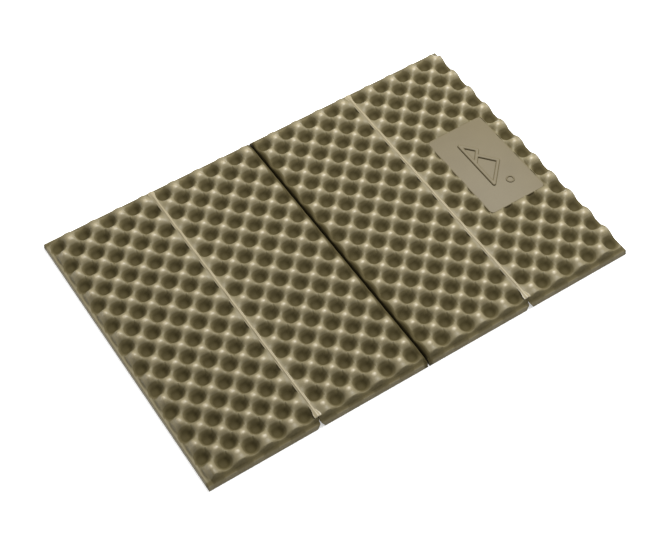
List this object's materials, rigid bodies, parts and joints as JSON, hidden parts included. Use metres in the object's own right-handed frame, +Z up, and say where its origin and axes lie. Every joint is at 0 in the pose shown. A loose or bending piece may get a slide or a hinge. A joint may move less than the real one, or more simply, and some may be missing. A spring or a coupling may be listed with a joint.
{
  "type": "folding foam sleeping pad",
  "caption": "Olive closed-cell foam pad with an egg-crate face, rectangular panels joined by live hinges that fold up accordion fashion, and a flat blank label land at one end.",
  "frame": {"origin": "on the floor at the middle of the pad, where the middle fold crosses the pad's centre line", "axes": "+X along the pad from the left end to the end with the label land, +Y across the pad along the folds, +Z up out of the egg-crate face"},
  "size_m": [0.5386, 0.369, 0.017],
  "materials": {
    "foam": "olive closed-cell foam with a smooth heat-pressed skin and a soft sheen",
    "pressed_foam": "the same foam pressed thin along a fold, paler than the rest",
    "label_foam": "the same foam pressed flat and smooth, left blank"
  },
  "bodies": {
    "left_inner": {"left_inner_panel": "foam", "left_top_hinge": "pressed_foam", "middle_low_hinge": "pressed_foam"},
    "left_end": {"left_end_panel": "foam"},
    "right_inner": {"right_inner_panel": "foam", "right_top_hinge": "pressed_foam"},
    "right_end": {"right_end_panel": "foam", "label_plaque": "label_foam"}
  },
  "joints": [
    {"name": "fold_left", "type": "hinge", "parent": "left_inner", "child": "left_end", "pos_m": [-0.1348, 0, 0.0137], "axis": [0, 1, 0], "range_deg": [0, 179]},
    {"name": "fold_middle", "type": "hinge", "parent": "left_inner", "child": "right_inner", "pos_m": [0, 0, -0.00015], "axis": [0, 1, 0], "range_deg": [0, 179]},
    {"name": "fold_right", "type": "hinge", "parent": "right_inner", "child": "right_end", "pos_m": [0.1348, 0, 0.0137], "axis": [0, -1, 0], "range_deg": [0, 175]}
  ]
}
